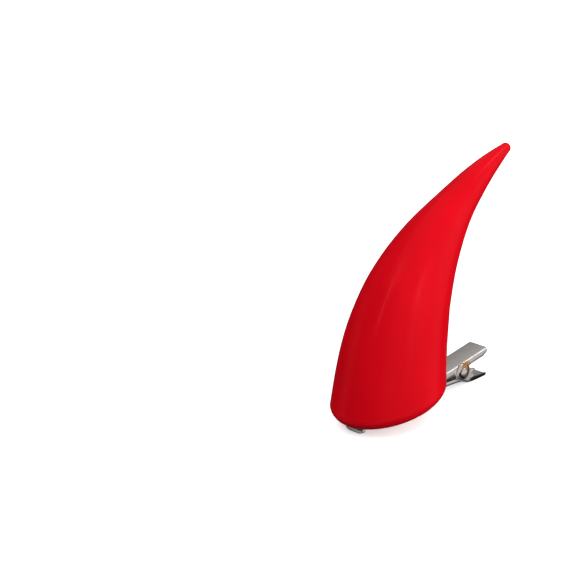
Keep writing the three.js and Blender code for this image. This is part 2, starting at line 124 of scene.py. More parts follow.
class ClipSizes(bpy.types.PropertyGroup):
    length: length("Length", "Nose to lever end", 48.1)
    width: length("Width", "Across the upper plate", 7.3)
    offset: length("Offset", "Clip from the middle of the horn's foot, across the clip", 0.8)
    lever_reach: length("Lever reach", "Lever end from the middle of the horn's foot", 34.7)
    sheet: length("Sheet", "Thickness of the steel strip", 0.6)
    inner_bend: length("Inner bend", "Inside radius of the folds", 0.15)
    fold_lip: length("Fold lip", "Least straight part of a side below its fold", 0.15)
    upper_side: length("Upper side", "Depth of the upper plate's sides", 1.7)
    nose_depth: length("Nose depth", "How far the nose curls down", 2)
    nose_curl: length("Nose curl", "Outside radius of the curl", 1.8)
    nose_corner: length("Nose corner", "Rounded corners of the nose", 1.3)
    nose_blend: length("Nose blend", "The sides deepen over this length behind the curl", 2)
    nose_proud: length("Nose proud", "The nose reaches lower than the lower jaw's front", 0.1)
    lever_corner: length("Lever corner", "Corners of both levers' ends", 0.5)
    lower_side: length("Lower side", "Depth of the lower jaw's sides", 1.4)
    jaw_front: length("Jaw front", "Straight part of the lower jaw's front edge", 1.7)
    tooth_height: length("Tooth height", "Height of a tooth", 0.9)
    tooth_pitch: length("Tooth pitch", "From tooth to tooth", 1.8)
    toothed: length("Toothed length", "Row of teeth, from the jaw's front end", 27)
    jaw_setback: length("Jaw setback", "The lower jaw's front end from the nose", 1.1)
    heel_depth: length("Heel depth", "End of the lower jaw's flat part, below the plate", 3.5)
    heel_ahead: length("Heel ahead", "That place from the pivot", 12)
    jaw_arch: length("Jaw arch", "Rise of the underside between there and the pivot", 0.2)
    belly_drop: length("Belly drop", "Underside of the lower jaw below the pivot", 3.6)
    knee_behind: length("Knee behind", "Bend of the lower lever from the pivot", 2.7)
    knee_drop: length("Knee drop", "That bend below the belly", 1.5)
    lever_drop: length("Lever drop", "End of the lower lever below the plate", 8.5)
    lever_setback: length("Lever setback", "End of the lower lever from the upper one's", 1.4)
    upper_taper: ratio("Upper taper", "How fast the upper lever's sides deepen from its end", 0.4)
    lower_taper: ratio("Lower taper", "The same of the lower lever", 0.07)
    flank_ahead: ratio("Flank ahead", "Fall of the lower ears' flanks towards the jaw", 1.1)
    flank_behind: ratio("Flank behind", "Fall of the lower ears' flanks towards the lever", 1.3)
    pivot_from_end: length("Pivot from end", "Pivot from the upper lever's end", 10.4)
    pivot_drop: length("Pivot drop", "Pivot below the top of the plate", 2.35)
    ear_radius: length("Ear radius", "Round ears of the upper half", 2.65)
    boss_radius: length("Boss radius", "Pressed boss round the rivet", 2.35)
    boss_height: length("Boss height", "How far the boss stands out", 0.55)
    pin_diameter: length("Rivet diameter", "Shank of the rivet", 1.3)
    head_radius: length("Rivet head", "Radius of a rivet head", 1.25)
    head_height: length("Head height", "Height of a rivet head", 0.6)
    seat_gap: length("Seat gap", "Horn to clip", 0.3)
    side_gap: length("Side gap", "Lower jaw inside the upper ears", 0.3)
    pin_gap: length("Rivet gap", "Rivet in its holes", 0.2)
    bite_gap: length("Bite gap", "Tooth tips to the upper plate", 0.3)
    ear_gap: length("Ear gap", "The lower jaw's ears to the upper plate", 0.35)
    leg_gap: length("Leg gap", "Spring leg to the lower lever", 0.3)


class SpringSizes(bpy.types.PropertyGroup):
    wire: length("Wire", "Diameter of the wire", 0.6)
    radius: length("Coil radius", "Middle of the wire", 1.1)
    turns: IntProperty(name="Turns", description="Whole turns of the coil", default=4)
    leg: length("Leg", "Length of each leg", 6)


class FinishColours(bpy.types.PropertyGroup):
    red: colour("Horn red", "Colour of the moulded plastic", "#CB0515")
    nickel: colour("Nickel", "Colour of the plated strip", "#CCC8C5")
    # Amber is the colour of the painted warm reflection on the ears behind the rivet
    amber: colour("Amber", "Tint where the plating is thin", "#C08A50")
    # The dark colour of the painted shade round the rivet and on the lower lever
    painted_shade_colour: colour("Tarnish", "Colour of oily tarnish", "#2B2522")
    rivet: colour("Rivet", "Colour of the bright rivet", "#D4D0CA")
    brass: colour("Brass", "Colour of the spring wire", "#B68B54")
    floor: colour("Floor", "Colour of the pale floor", "#FAFAFA")


class HornClipSettings(bpy.types.PropertyGroup):
    horn: PointerProperty(type=HornSizes)
    clip: PointerProperty(type=ClipSizes)
    spring: PointerProperty(type=SpringSizes)
    finish: PointerProperty(type=FinishColours)


def settings():
    return bpy.context.scene.horn_clip


# Places shared by the clip's pieces, in the clip's own frame: x along the plate, z square to it


def clip_places():
    clip = settings().clip
    top = -clip.seat_gap
    lever_end = clip.lever_reach
    nose = lever_end - clip.length
    pivot = Vector((lever_end - clip.pivot_from_end, 0, top - clip.pivot_drop))
    lower_width = clip.width - 2 * (clip.sheet + clip.side_gap)
    jaw_front = nose + clip.sheet + clip.jaw_setback
    return {
        "top": top,
        "lever_end": lever_end,
        "nose": nose,
        "pivot": pivot,
        "least_depth": clip.sheet + clip.inner_bend + clip.fold_lip,
        "lower_width": lower_width,
        "jaw_corner": (lower_width - clip.jaw_front) / 2,
        "inner_ear": clip.pivot_drop - clip.sheet - clip.ear_gap,
        "jaw_start": Vector((jaw_front, 0, top - clip.nose_depth + clip.nose_proud)),
        "heel": Vector((pivot.x - clip.heel_ahead, 0, top - clip.heel_depth)),
        "belly": Vector((pivot.x, 0, pivot.z - clip.belly_drop)),
        "lower_end": Vector((lever_end - clip.lever_setback, 0, top - clip.lever_drop)),
    }


def horn_to_world():
    """The horn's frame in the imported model, tilted so that the clip stands on nose and lever."""
    clip, places = settings().clip, clip_places()
    nose, foot = places["nose"], places["top"] - clip.nose_depth
    under = [(x - nose, foot - height) for x, height, *_ in lower_stations(clip, places)]
    tilt = max(math.atan2(drop, reach) for reach, drop in under)
    turn = Matrix.Rotation(-tilt, 4, "Y")
    joint = frame["record"]["behaviour"]["joints"][0]
    hinge = Vector(joint["pos_m"]) - Vector((0, clip.offset, 0))
    return Matrix.Translation(hinge - turn @ places["pivot"]) @ turn


def clip_to_world():
    return horn_to_world() @ Matrix.Translation((0, settings().clip.offset, 0))


# Meshes

# Edges sharper than this many degrees stay sharp in the shading
HORN_SMOOTH, STRIP_SMOOTH, TURNED_SMOOTH, WIRE_SMOOTH = 50, 35, 40, 60
CUT_EDGE = 40  # degrees from which an edge counts as cut and is rounded


def new_object(name, points, faces, smooth_angle=None):
    mesh = bpy.data.meshes.new(name)
    mesh.from_pydata([tuple(point) for point in points], [], faces)
    body = bmesh.new()
    body.from_mesh(mesh)
    bmesh.ops.recalc_face_normals(body, faces=body.faces)
    body.to_mesh(mesh)
    body.free()
    piece = bpy.data.objects.new(name, mesh)
    bpy.context.scene.collection.objects.link(piece)
    shade_smooth(piece, smooth_angle)
    return piece


def shade_smooth(piece, smooth_angle=None):
    for polygon in piece.data.polygons:
        polygon.use_smooth = True
    if smooth_angle is not None:
        piece.data.set_sharp_from_angle(angle=math.radians(smooth_angle))


def loft(rings, closed_ends=True):
    """Points and faces of a skin through rings of equal count."""
    count = len(rings[0])
    points = [point for ring in rings for point in ring]
    faces = []
    for ring in range(len(rings) - 1):
        start = ring * count
        for side in range(count):
            after = (side + 1) % count
            faces.append((start + side, start + after, start + count + after, start + count + side))
    if closed_ends:
        last = (len(rings) - 1) * count
        faces += [tuple(reversed(face)) for face in tessellate_polygon([rings[0]])]
        faces += [tuple(last + at for at in face) for face in tessellate_polygon([rings[-1]])]
    return points, faces


def turns_round(sides):
    return [2 * math.pi * side / sides for side in range(sides)]


def apply_modifiers(piece):
    bpy.context.view_layer.update()
    evaluated = piece.evaluated_get(bpy.context.evaluated_depsgraph_get())
    finished = bpy.data.meshes.new_from_object(evaluated)
    finished.name = piece.data.name
    piece.modifiers.clear()
    piece.data = finished


def combine(piece, other, operation):
    """Joins another body to a piece, or cuts it out, and removes it."""
    modifier = piece.modifiers.new("combine", "BOOLEAN")
    modifier.operation = operation
    modifier.solver = "EXACT"
    modifier.object = other
    apply_modifiers(piece)
    bpy.data.objects.remove(other, do_unlink=True)


def soften_edges(piece, width):
    """Rounds the cut edges a little, as tumbling does."""
    bevel = piece.modifiers.new("edges", "BEVEL")
    bevel.width = width
    bevel.segments = 2
    bevel.limit_method = "ANGLE"
    bevel.angle_limit = math.radians(CUT_EDGE)
    bevel.use_clamp_overlap = True
    apply_modifiers(piece)
    shade_smooth(piece, STRIP_SMOOTH)


def smooth_curve(knots, x):
    """(height, steepness) at x of a smooth curve through (x, height) knots."""
    last = len(knots) - 1
    row = max(at for at in range(last) if knots[at][0] <= x)

    def slope(at):
        before, after = knots[max(at - 1, 0)], knots[min(at + 1, last)]
        return (after[1] - before[1]) / (after[0] - before[0])

    (start, low), (stop, high) = knots[row], knots[row + 1]
    span, rise = stop - start, high - low
    t = (x - start) / span
    height = low + rise * t * t * (3 - 2 * t)
    height += span * (slope(row) * t * (1 - t) ** 2 - slope(row + 1) * t * t * (1 - t))
    steep = 6 * t * (1 - t) * rise / span
    steep += slope(row) * (1 - t) * (1 - 3 * t) - slope(row + 1) * t * (2 - 3 * t)
    return height, steep


# Horn

SPINE_STEPS = 240
SKIN_RINGS, HOLLOW_RINGS = 150, 50
ROUNDING_STEPS = 10
TIP_STEPS = 8
TIP_GAP = 0.4  # of a step, left open so that the last ring keeps a size
FLOOR_RINGS = (0.3, 0.6)  # of the foot's half length, in from its edge
VENT_EDGE = 0.25 * MM  # rings this near the vent's ends keep its edges crisp
HOLLOW_STEP = 0.01  # of the middle line, by which the hollow's end is looked for


class HornForm:
    """The horn's skin and hollow as rings of points in the horn's own frame."""

    def __init__(self, sizes):
        self.sizes = sizes
        self.half = sizes.foot_length / 2
        self.line = self.spine_line()

    def section(self, column, along):
        return smooth_curve([(row["along"], row[column]) for row in HORN_SECTIONS], along)[0]

    def lean(self, along):
        foot, tip = self.sizes.lean_at_foot, self.sizes.lean_at_tip
        return foot + (tip - foot) * self.section("lean", along)

    def girth(self, along):
        tip = self.sizes.tip_radius
        return tip + (self.half - tip) * self.section("girth", along)

    def spine_line(self):
        point = Vector((0, 0, self.sizes.rounding))
        line = [point.copy()]
        stretch = self.sizes.spine / SPINE_STEPS
        for step in range(SPINE_STEPS):
            lean = self.lean((step + 0.5) / SPINE_STEPS)
            point += Vector((math.sin(lean), 0, math.cos(lean))) * stretch
            line.append(point.copy())
        return line

    def middle(self, along):
        place = along * SPINE_STEPS
        low = min(int(place), SPINE_STEPS - 1)
        return self.line[low].lerp(self.line[low + 1], place - low)

    def ring(self, centre, half_long, half_wide, tilt):
        ahead = Vector((math.cos(tilt), 0, -math.sin(tilt)))
        across = Vector((0, 1, 0))
        return [
            centre + ahead * half_long * math.cos(turn) + across * half_wide * math.sin(turn)
            for turn in turns_round(self.sizes.sides)
        ]

    def flat_ring(self, inset, height):
        half_wide = self.sizes.foot_width / 2 - inset
        return self.ring(Vector((0, 0, height)), self.half - inset, half_wide, 0)

    def body_rings(self, wall, count, last_along):
        """Rings from the foot up, this far inside the skin."""
        sizes = self.sizes
        rounding = sizes.inner_rounding if wall else sizes.rounding
        rings = []
        for step in range(ROUNDING_STEPS):
            turn = QUARTER * step / ROUNDING_STEPS
            inset = wall + rounding * (1 - math.sin(turn))
            rings.append(self.flat_ring(inset, wall + rounding * (1 - math.cos(turn))))
        foot_flatness = sizes.foot_width / sizes.foot_length
        for at in range(count + 1):
            along = last_along * at / count
            lift = wall + rounding - sizes.rounding if at == 0 else 0
            girth = self.girth(along)
            flatness = foot_flatness + (sizes.tip_flatness - foot_flatness) * along
            tilt = self.lean(along) * min(along / sizes.upright_share, 1)
            centre = self.middle(along) + Vector((0, 0, lift))
            rings.append(self.ring(centre, girth - wall, girth * flatness - wall, tilt))
        return rings

    def tip_rings(self):
        sizes = self.sizes
        lean = self.lean(1)
        ahead = Vector((math.sin(lean), 0, math.cos(lean)))
        rings = []
        for step in range(1, TIP_STEPS + 1):
            turn = QUARTER * step / (TIP_STEPS + TIP_GAP)
            radius = sizes.tip_radius * math.cos(turn)
            centre = self.line[-1] + ahead * sizes.tip_radius * math.sin(turn)
            rings.append(self.ring(centre, radius, radius * sizes.tip_flatness, lean))
        return rings

    def hollow_end(self):
        along = 1.0
        while self.girth(along) < 2 * self.sizes.wall:
            along -= HOLLOW_STEP
        return along

    def vent_ring(self, height):
        radius = self.sizes.vent / 2
        return self.ring(Vector((0, 0, height)), radius, radius, 0)

    def rings(self):
        """From the tip down the skin, in over the foot, up the vent and back up the hollow."""
        wall = self.sizes.wall
        skin = self.body_rings(0, SKIN_RINGS, 1) + self.tip_rings()
        hollow = self.body_rings(wall, HOLLOW_RINGS, self.hollow_end())
        foot = [self.flat_ring(self.half * part, 0) for part in FLOOR_RINGS]
        floor = [self.flat_ring(self.half * part, wall) for part in reversed(FLOOR_RINGS)]
        vent = [self.vent_ring(height) for height in (0, VENT_EDGE, wall - VENT_EDGE, wall)]
        return list(reversed(skin)) + foot + vent + floor + hollow


def build_horn():
    form = HornForm(settings().horn)
    points, faces = loft(form.rings())
    world = horn_to_world()
    horn = new_object("horn_shell", [world @ point for point in points], faces, HORN_SMOOTH)
    horn.data.materials.append(moulded_red_pvc())
    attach(horn, "root")
    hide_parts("horn")


# Clip

BEND_STEPS, CURL_STEPS, EAR_STEPS, INNER_EAR_STEPS = 6, 14, 14, 12
# Parts of a length at which the strip gets a station, closest where it curves most
NOSE_PARTS = (0, 0.15, 0.4, 0.7)
PLATE_PARTS = (0, 0.03, 0.06, 0.12, 0.25, 0.4, 0.55, 0.7)
NECK_PARTS = (0.02, 0.06, 0.13, 0.22, 0.35, 0.5, 0.75, 1)
END_PARTS = (0, 0.05, 0.2, 0.45, 0.7, 1)
CORNER_PARTS = (0, 0.03, 0.1, 0.22, 0.4, 0.6, 0.8, 1)
LEAST_SPACING = 0.02 * MM  # stations nearer than this are taken as one
FIRST_TOOTH = 5 / 6  # of the pitch, from the jaw's front end
UPPER_EDGE, LOWER_EDGE = 0.09 * MM, 0.08 * MM  # width of the tumbled edges
BORE_SIDES = 40
BOSS_SIDES, BOSS_STEPS = 56, 9
BOSS_SEAT = 0.52  # radius of a boss's flat seat over the boss's own


def channel_outline(half_width, depth, clip):
    """A U section, open downwards, as (across, up) pairs."""
    inner, outer = clip.inner_bend, clip.sheet + clip.inner_bend
    inner_half = half_width - clip.sheet

    def bend(radius, across, start, stop):
        turns = [start + (stop - start) * step / BEND_STEPS for step in range(BEND_STEPS + 1)]
        return [(across + radius * math.cos(turn), radius * math.sin(turn) - outer) for turn in turns]

    outline = [(half_width, -depth)]
    outline += bend(outer, half_width - outer, 0, QUARTER)
    outline += bend(outer, -half_width + outer, QUARTER, 2 * QUARTER)
    outline += [(-half_width, -depth), (-inner_half, -depth)]
    outline += bend(inner, -inner_half + inner, 2 * QUARTER, QUARTER)
    outline += bend(inner, inner_half - inner, QUARTER, 0)
    outline.append((inner_half, -depth))
    return outline


def channel(name, stations, side):
    """A folded strip through (x, height, heading, depth of its sides, half width) stations."""
    clip = settings().clip
    rings = []
    for x, z, heading, depth, half_width in stations:
        rings.append([
            Vector((x - side * up * math.sin(heading), across, z + side * up * math.cos(heading)))
            for across, up in channel_outline(half_width, depth, clip)
        ])
    points, faces = loft(rings)
    return new_object(name, points, faces)


def rounded_half(half_width, from_end, radius):
    """Half width of a strip near an end with rounded corners."""
    if from_end >= radius:
        return half_width
    return half_width - radius + math.sqrt(radius**2 - (radius - max(from_end, 0)) ** 2)


def sorted_places(values):
    kept = []
    for value in sorted(values):
        if not kept or value - kept[-1] > LEAST_SPACING:
            kept.append(value)
    return kept


def upper_depth(x, clip, places):
    """Depth of the upper half's sides: round ears, filleted necks and tapering ends."""
    away = abs(x - places["pivot"].x)
    if away < clip.ear_radius:
        return clip.pivot_drop + math.sqrt(clip.ear_radius**2 - away**2)
    tapered = places["least_depth"] + clip.upper_taper * (places["lever_end"] - x)
    side = min(clip.upper_side, tapered)
    neck = clip.pivot_drop - side
    out = (away - clip.ear_radius) / neck
    return side + neck * (1 - math.sqrt(1 - (1 - out) ** 2)) if out < 1 else side


def nose_stations(clip, places):
    """From the nose's lower edge up round its curl."""
    half, least = clip.width / 2, places["least_depth"]
    top, nose = places["top"], places["nose"]
    straight = clip.nose_depth - clip.nose_curl
    stations = []
    for part in NOSE_PARTS:
        rise = straight * part
        half_width = rounded_half(half, rise, clip.nose_corner)
        stations.append((nose, top - clip.nose_depth + rise, QUARTER, least, half_width))
    for step in range(CURL_STEPS):
        turn = QUARTER * (1 - step / CURL_STEPS)
        x = nose + clip.nose_curl * (1 - math.sin(turn))
        z = top - clip.nose_curl * (1 - math.cos(turn))
        from_edge = straight + clip.nose_curl * (QUARTER - turn)
        stations.append((x, z, turn, least, rounded_half(half, from_edge, clip.nose_corner)))
    return stations


def upper_stations(clip, places):
    end, least, pivot = places["lever_end"], places["least_depth"], places["pivot"].x
    start = places["nose"] + clip.nose_curl
    spots = [start + part * (pivot - start) for part in PLATE_PARTS]
    offsets = [clip.ear_radius * math.sin(QUARTER * step / EAR_STEPS) for step in range(EAR_STEPS + 1)]
    neck = clip.pivot_drop - least
    offsets += [clip.ear_radius + neck * part for part in NECK_PARTS]
    spots += [pivot + sign * offset for sign in (-1, 1) for offset in offsets]
    spots += [end - clip.lever_corner * part for part in END_PARTS]
    spots.append(end - (clip.upper_side - least) / clip.upper_taper)
    stations = nose_stations(clip, places)
    for x in sorted_places(spots):
        blend = min((x - start) / clip.nose_blend, 1)
        depth = least + (upper_depth(x, clip, places) - least) * blend
        half_width = rounded_half(clip.width / 2, end - x, clip.lever_corner)
        stations.append((x, places["top"], 0, depth, half_width))
    return stations


def turned_body(name, profile, sides, centre, flip=False):
    """A closed body turned about the pivot's axis from (radius, along) pairs that start and end on it."""
    rings = []
    for radius, along in profile[1:-1]:
        rings.append([
            centre + Vector((radius * math.cos(turn), -along if flip else along, radius * math.sin(turn)))
            for turn in turns_round(sides)
        ])
    points, faces = loft(rings, closed_ends=False)
    for start, along in ((0, profile[0][1]), ((len(rings) - 1) * sides, profile[-1][1])):
        hub = len(points)
        points.append(centre + Vector((0, -along if flip else along, 0)))
        for side in range(sides):
            faces.append((start + side, start + (side + 1) % sides, hub))
    return new_object(name, points, faces, TURNED_SMOOTH)


def pin_bore(clip, places):
    """The body to cut out for the rivet's holes."""
    reach = clip.width
    radius = clip.pin_diameter / 2 + clip.pin_gap
    profile = [(0, -reach), (radius, -reach), (radius, reach), (0, reach)]
    return turned_body("bore", profile, BORE_SIDES, places["pivot"])


def boss(clip, places, flip):
    """The round dome pressed out of an ear, with a flat seat for the rivet's head."""
    face = clip.width / 2
    inside = face - clip.sheet / 2
    profile = [(0, inside), (clip.boss_radius, inside), (clip.boss_radius, face)]
    for step in range(1, BOSS_STEPS + 1):
        turn = QUARTER * step / BOSS_STEPS
        radius = clip.boss_radius * (BOSS_SEAT + (1 - BOSS_SEAT) * math.cos(turn))
        profile.append((radius, face + clip.boss_height * math.sin(turn)))
    profile.append((0, face + clip.boss_height))
    return turned_body("boss", profile, BOSS_SIDES, places["pivot"], flip)


def to_world(piece):
    piece.data.transform(clip_to_world())
    piece.data.update()


def build_upper():
    clip, places = settings().clip, clip_places()
    upper = channel("upper_jaw", upper_stations(clip, places), 1)
    for flip in (False, True):
        combine(upper, boss(clip, places, flip), "UNION")
    combine(upper, pin_bore(clip, places), "DIFFERENCE")
    soften_edges(upper, UPPER_EDGE)
    to_world(upper)
    upper.data.materials.clear()
    upper.data.materials.append(plated_strip())
    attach(upper, "root")
    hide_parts("clip_upper")


class LowerPath:
    """Underside of the lower jaw and lever: flat to its heel, then swelling under the pivot."""

    def __init__(self, clip, places):
        self.start, self.heel = places["jaw_start"], places["heel"]
        self.slope = (self.heel.z - self.start.z) / (self.heel.x - self.start.x)
        belly = places["belly"]
        knots = [
            self.start.lerp(self.heel, 0.5),
            self.heel,
            self.heel.lerp(belly, 0.5) + Vector((0, 0, clip.jaw_arch)),
            belly,
            belly + Vector((clip.knee_behind, 0, -clip.knee_drop)),
            places["lower_end"],
        ]
        self.knots = [(knot.x, knot.z) for knot in knots]

    def at(self, x):
        """(height, heading) of the underside at a place along the clip."""
        if x <= self.heel.x:
            return self.start.z + self.slope * (x - self.start.x), math.atan(self.slope)
        height, steep = smooth_curve(self.knots, x)
        return height, math.atan(steep)


def lower_depth(x, clip, places, path):
    """(depth of the sides, most depth that fits under the upper plate)."""
    height, heading = path.at(x)
    pivot, ear = places["pivot"], places["inner_ear"]
    drop = (pivot.z - height) * math.cos(heading)
    room = (places["top"] - clip.sheet - height) * math.cos(heading) - clip.bite_gap
    away = abs(x - pivot.x)
    if away < ear:
        return drop + math.sqrt(ear**2 - away**2), room
    behind = x > pivot.x
    flank = drop - (clip.flank_behind if behind else clip.flank_ahead) * (away - ear)
    plain = clip.lower_side
    if behind:
        plain = min(plain, places["least_depth"] + clip.lower_taper * (places["lower_end"].x - x))
    return min(max(flank, plain), room), room


def lower_stations(clip, places):
    path = LowerPath(clip, places)
    front, end, pivot = places["jaw_start"].x, places["lower_end"].x, places["pivot"].x
    half, ear = places["lower_width"] / 2, places["inner_ear"]
    teeth = int(clip.toothed / clip.tooth_pitch)
    peaks = [front + clip.tooth_pitch * (tooth + FIRST_TOOTH) for tooth in range(teeth)]
    spots = peaks + [peak - clip.tooth_pitch / 2 for peak in peaks]
    for step in range(INNER_EAR_STEPS + 1):
        offset = ear * math.sin(QUARTER * step / INNER_EAR_STEPS)
        spots += [pivot - offset, pivot + offset]
        reach = (step / INNER_EAR_STEPS) ** 2
        spots.append(pivot - ear + (places["heel"].x - pivot + ear) * reach)
        spots.append(pivot + ear + (end - pivot - ear) * reach)
    for part in CORNER_PARTS:
        spots += [end - clip.lever_corner * part, front + places["jaw_corner"] * part]
    stations = []
    for x in sorted_places(spots):
        height, heading = path.at(x)
        root, room = lower_depth(x, clip, places, path)
        tooth = clip.tooth_height if any(abs(x - peak) < LEAST_SPACING for peak in peaks) else 0
        at_lever = rounded_half(half, end - x, clip.lever_corner)
        at_front = rounded_half(half, x - front, places["jaw_corner"])
        stations.append((x, height, heading, min(root + tooth, room), min(at_lever, at_front)))
    return stations


def build_lower():
    clip, places = settings().clip, clip_places()
    lower = channel("lower_jaw", lower_stations(clip, places), -1)
    combine(lower, pin_bore(clip, places), "DIFFERENCE")
    soften_edges(lower, LOWER_EDGE)
    to_world(lower)
    lower.data.materials.clear()
    lower.data.materials.append(plated_strip())
    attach(lower, "lower_jaw")
    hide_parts("clip_lower")


# Rivet

RIVET_SIDES, DOME_STEPS = 48, 10
HEAD_LIFT = 0.02 * MM  # a head over the boss that it lies on
HEAD_RIM, HEAD_SHOULDER = 0.2, 0.25  # of the head's height, where its edge ends and its dome starts
HEAD_FOOT = 0.96  # radius of the head's underside over its own


def build_rivet():
    clip, places = settings().clip, clip_places()
    face = clip.width / 2 + clip.boss_height + HEAD_LIFT
    shank = clip.pin_diameter / 2
    crown = clip.head_height
    half = [(0, face + crown)]
    for step in range(1, DOME_STEPS):
        turn = QUARTER * (1 - step / DOME_STEPS)
        rise = HEAD_SHOULDER + (1 - HEAD_SHOULDER) * math.sin(turn)
        half.append((clip.head_radius * math.cos(turn), face + crown * rise))
    half += [(clip.head_radius, face + crown * HEAD_RIM), (clip.head_radius * HEAD_FOOT, face), (shank, face)]
    profile = [(radius, -along) for radius, along in half] + list(reversed(half))
    rivet = turned_body("rivet", profile, RIVET_SIDES, places["pivot"])
    to_world(rivet)
    rivet.data.materials.append(bright_rivet())
    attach(rivet, "root")
    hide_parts("pivot_pin")


# Spring

WIRE_SIDES = 14
LEG_STEPS, COIL_STEPS = 6, 32  # points along a leg, and for each turn of the coil
LEAN_STEPS, MOST_LEAN = 30, math.pi / 3
END_RINGS = (0.3, 0.7, 0.95)  # radii of the wire's rounded ends over its own
END_DEPTH = 0.3  # of a half ball


def leg_lean():
    """Lean of the spring's lower leg at which its end rests on the lower lever."""
    spring, clip, places = settings().spring, settings().clip, clip_places()
    path, pivot = LowerPath(clip, places), places["pivot"]
    rest = clip.sheet + clip.leg_gap + spring.wire / 2
    low, high = 0.0, MOST_LEAN
    for _ in range(LEAN_STEPS):
        lean = (low + high) / 2
        x = pivot.x - spring.radius * math.sin(lean) + spring.leg * math.cos(lean)
        z = pivot.z - spring.radius * math.cos(lean) - spring.leg * math.sin(lean)
        if z - path.at(x)[0] > rest:
            low = lean
        else:
            high = lean
    return low


def spring_points():
    """Middle line of the wire: a leg, the coil and the other leg, in the clip's frame."""
    spring, clip, places = settings().spring, settings().clip, clip_places()
    whole = 2 * math.pi * spring.turns + math.pi - leg_lean()
    width = places["lower_width"] - 2 * clip.sheet - spring.wire - 2 * clip.side_gap

    def coil(turn):
        across = width * (turn / whole - 0.5)
        return Vector((-spring.radius * math.sin(turn), across, spring.radius * math.cos(turn)))

    points = [coil(0) + Vector((spring.leg * (1 - step / LEG_STEPS), 0, 0)) for step in range(LEG_STEPS)]
    count = int(COIL_STEPS * whole / (2 * math.pi))
    points += [coil(whole * step / count) for step in range(count + 1)]
    away = Vector((-math.cos(whole), 0, -math.sin(whole)))
    points += [coil(whole) + away * spring.leg * step / LEG_STEPS for step in range(1, LEG_STEPS + 1)]
    return [places["pivot"] + point for point in points]


def tube_rings(path, radius):
    """Rings square to a path, with rounded ends."""
    tangents = []
    for at in range(len(path)):
        before, after = path[max(at - 1, 0)], path[min(at + 1, len(path) - 1)]
        tangents.append((after - before).normalized())
    ends = [(part, END_DEPTH * radius * (1 - math.sqrt(1 - (1 - part) ** 2))) for part in END_RINGS]
    sections = [(path[0] + tangents[0] * back, tangents[0], radius * part) for part, back in ends]
    sections += [(path[at], tangents[at], radius) for at in range(1, len(path) - 1)]
    ends.reverse()
    sections += [(path[-1] - tangents[-1] * back, tangents[-1], radius * part) for part, back in ends]
    across = Vector((0, 1, 0))
    rings = []
    for centre, tangent, size in sections:
        across = (across - tangent * across.dot(tangent)).normalized()
        up = tangent.cross(across)
        rings.append([
            centre + (across * math.cos(turn) + up * math.sin(turn)) * size
            for turn in turns_round(WIRE_SIDES)
        ])
    return rings


def build_spring():
    spring, clip, places = settings().spring, settings().clip, clip_places()
    points, faces = loft(tube_rings(spring_points(), spring.wire / 2))
    coil = new_object("coil_spring", points, faces, WIRE_SMOOTH)
    to_world(coil)
    coil.data.materials.append(spring_wire())
    pivot = clip_to_world() @ places["pivot"]
    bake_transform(coil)
    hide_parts("spring")


# Materials

# Sizes of what shows on the surfaces. The pores, the grain and the die lines are finer on the
# real ones, and are drawn as coarse as they need to show
CLOUD = 18 * MM
RIPPLE = 9 * MM
PORE = 0.35 * MM
GRAIN, GRAIN_STRETCH = 0.25 * MM, 18
PATCH = 1.2 * MM
PIT = 0.6 * MM
DIE_LINE = 0.3 * MM
# The painted warm reflection, an amber oval behind the rivet, and the ring of painted shade about it, from
# the pivot in a side view. Each edge of the ring is where it starts to show and where it shows fully
REFLECTION_CENTRE, REFLECTION_HALVES = (1.5 * MM, 0.6 * MM), (2.4 * MM, 2.2 * MM)
RING_INSIDE, RING_OUTSIDE = (1.1 * MM, 1.3 * MM), (2.0 * MM, 1.75 * MM)
# A Mix node has sockets for each kind of data. These are the ones for colours
FACTOR, FIRST, SECOND, MIXED = 0, 6, 7, 2


def fill(tree, node, values=None, links=None):
    """Gives a node's inputs their values, or links them from other sockets."""
    for socket, value in (values or {}).items():
        node.inputs[socket].default_value = value
    for socket, source in (links or {}).items():
        tree.links.new(source, node.inputs[socket])


def add_node(tree, kind, values=None, links=None, stops=(), **fields):
    """A node with its fields set, its inputs filled and a colour ramp's stops placed."""
    node = tree.nodes.new(kind)
    for field, value in fields.items():
        setattr(node, field, value)
    if stops:
        elements = node.color_ramp.elements
        while len(elements) < len(stops):
            elements.new(0.5)
        for element, (position, value) in zip(elements, stops):
            element.position = position
            element.color = (*value, 1) if isinstance(value, tuple) else (value, value, value, 1)
    fill(tree, node, values, links)
    return node


def new_material(name):
    material = bpy.data.materials.new(name)
    material.use_nodes = True
    tree = material.node_tree
    return material, tree, tree.nodes["Principled BSDF"]


def mask(tree, *limits):
    """Where all limits hold. Each is a value, where it starts to count and where it counts fully."""
    held = None
    for source, start, full in limits:
        values = {"From Min": start, "From Max": full}
        within = add_node(tree, "ShaderNodeMapRange", values, {"Value": source}).outputs["Result"]
        if held is not None:
            both = {0: held, 1: within}
            within = add_node(tree, "ShaderNodeMath", None, both, operation="MULTIPLY").outputs["Value"]
        held = within
    return held


def oval_reach(tree, from_pivot, centre, halves):
    """Distance from an oval's middle in a side view, which leaves out y, with 1 at its edge."""
    values = {"Location": (centre[0], 0, centre[1]), "Scale": (halves[0], 1, halves[1])}
    placed = add_node(tree, "ShaderNodeMapping", values, {"Vector": from_pivot}, vector_type="TEXTURE")
    flat = add_node(
        tree, "ShaderNodeVectorMath", {1: (1, 0, 1)}, {0: placed.outputs["Vector"]}, operation="MULTIPLY"
    )
    reach = add_node(tree, "ShaderNodeVectorMath", None, {0: flat.outputs["Vector"]}, operation="LENGTH")
    return reach.outputs["Value"]


